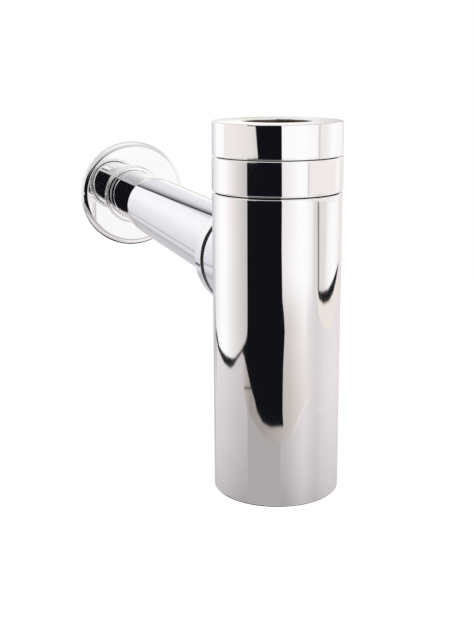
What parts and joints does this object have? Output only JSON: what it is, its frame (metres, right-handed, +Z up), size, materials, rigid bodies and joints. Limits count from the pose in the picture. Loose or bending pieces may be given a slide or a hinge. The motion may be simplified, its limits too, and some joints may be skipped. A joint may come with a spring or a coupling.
{
  "type": "bottle trap",
  "caption": "Tall round chrome bottle trap for a basin, with screwed inlet rings, a side outlet and a telescopic pipe that ends in a round wall flange.",
  "frame": {"origin": "centre of the inlet's mouth, on the bottle's axis in the plane of the top ring", "axes": "+Z up out of the inlet along the bottle's axis, +Y along the outlet pipe towards the wall"},
  "size_m": [0.0774, 0.3781, 0.1816],
  "materials": {
    "chrome": "mirror polished plating",
    "brass": "turned, unplated",
    "rubber": "matt",
    "white_plastic": "moulded"
  },
  "bodies": {
    "inlet_neck": {"inlet_neck": "brass", "inlet_washer": "rubber", "dip_tube": "brass", "dip_tube_o_ring": "rubber"},
    "inlet_slip_ring": {"inlet_slip_ring": "white_plastic"},
    "inlet_nut": {"inlet_nut": "chrome"},
    "union_nut": {"union_nut": "chrome"},
    "body_washer": {"body_washer": "rubber"},
    "trap_body": {"trap_body": "chrome", "body_collar": "brass", "base_ring": "chrome", "outlet_boss": "chrome"},
    "base_plug_o_ring": {"base_plug_o_ring": "rubber"},
    "base_plug": {"base_plug": "chrome"},
    "outlet_slip_ring": {"outlet_slip_ring": "white_plastic"},
    "outlet_nut": {"outlet_nut": "chrome"},
    "outlet_washer": {"outlet_washer": "rubber"},
    "outlet_sleeve": {"outlet_sleeve": "chrome"},
    "sleeve_o_ring": {"sleeve_o_ring": "rubber"},
    "wall_tube": {"wall_tube": "chrome"},
    "flange_o_ring": {"flange_o_ring": "rubber"},
    "wall_flange": {"wall_flange": "chrome"}
  },
  "joints": [
    {"name": "inlet_nut_rise", "type": "slide", "parent": "inlet_neck", "child": "inlet_slip_ring", "axis": [0, 0, 1], "range_m": [0, 0.00805]},
    {"name": "inlet_nut_turn", "type": "hinge", "parent": "inlet_slip_ring", "child": "inlet_nut", "pos_m": [0, 0, 0], "axis": [0, 0, 1], "range_deg": [0, 1440]},
    {"name": "union_nut_turn", "type": "hinge", "parent": "inlet_neck", "child": "union_nut", "pos_m": [0, 0, 0], "axis": [0, 0, 1], "range_deg": [0, 1080]},
    {"name": "bottle_drop", "type": "slide", "parent": "inlet_neck", "child": "body_washer", "axis": [0, 0, -1], "range_m": [0, 0.00605]},
    {"name": "bottle_swivel", "type": "hinge", "parent": "body_washer", "child": "trap_body", "pos_m": [0, 0, 0], "axis": [0, 0, 1], "continuous": true},
    {"name": "base_plug_drop", "type": "slide", "parent": "trap_body", "child": "base_plug_o_ring", "axis": [0, 0, -1], "range_m": [0, 0.0038]},
    {"name": "base_plug_turn", "type": "hinge", "parent": "base_plug_o_ring", "child": "base_plug", "pos_m": [0, 0, 0], "axis": [0, 0, -1], "range_deg": [0, 900]},
    {"name": "outlet_nut_travel", "type": "slide", "parent": "trap_body", "child": "outlet_slip_ring", "axis": [0, 1, 0], "range_m": [0, 0.00505]},
    {"name": "outlet_nut_turn", "type": "hinge", "parent": "outlet_slip_ring", "child": "outlet_nut", "pos_m": [0, 0, -0.072], "axis": [0, 1, 0], "range_deg": [0, 900]},
    {"name": "sleeve_turn", "type": "hinge", "parent": "trap_body", "child": "outlet_washer", "pos_m": [0, 0, -0.072], "axis": [0, 1, 0], "continuous": true},
    {"name": "sleeve_slide", "type": "slide", "parent": "outlet_washer", "child": "outlet_sleeve", "axis": [0, 1, 0], "range_m": [0, 0.008]},
    {"name": "tube_turn", "type": "hinge", "parent": "outlet_sleeve", "child": "sleeve_o_ring", "pos_m": [0, 0, -0.072], "axis": [0, 1, 0], "continuous": true},
    {"name": "tube_slide", "type": "slide", "parent": "sleeve_o_ring", "child": "wall_tube", "axis": [0, 1, 0], "range_m": [-0.025, 0.03]},
    {"name": "flange_slide", "type": "slide", "parent": "wall_tube", "child": "flange_o_ring", "axis": [0, 1, 0], "range_m": [-0.03, 0]},
    {"name": "flange_turn", "type": "hinge", "parent": "flange_o_ring", "child": "wall_flange", "pos_m": [0, 0, -0.072], "axis": [0, 1, 0], "continuous": true}
  ],
  "couplings": [
    {"joint": "inlet_nut_rise", "follows": "inlet_nut_turn", "m_per_rad": 0.00031831},
    {"joint": "bottle_drop", "follows": "union_nut_turn", "m_per_rad": 0.00031831},
    {"joint": "base_plug_drop", "follows": "base_plug_turn", "m_per_rad": 0.00023873},
    {"joint": "outlet_nut_travel", "follows": "outlet_nut_turn", "m_per_rad": 0.00031831}
  ]
}
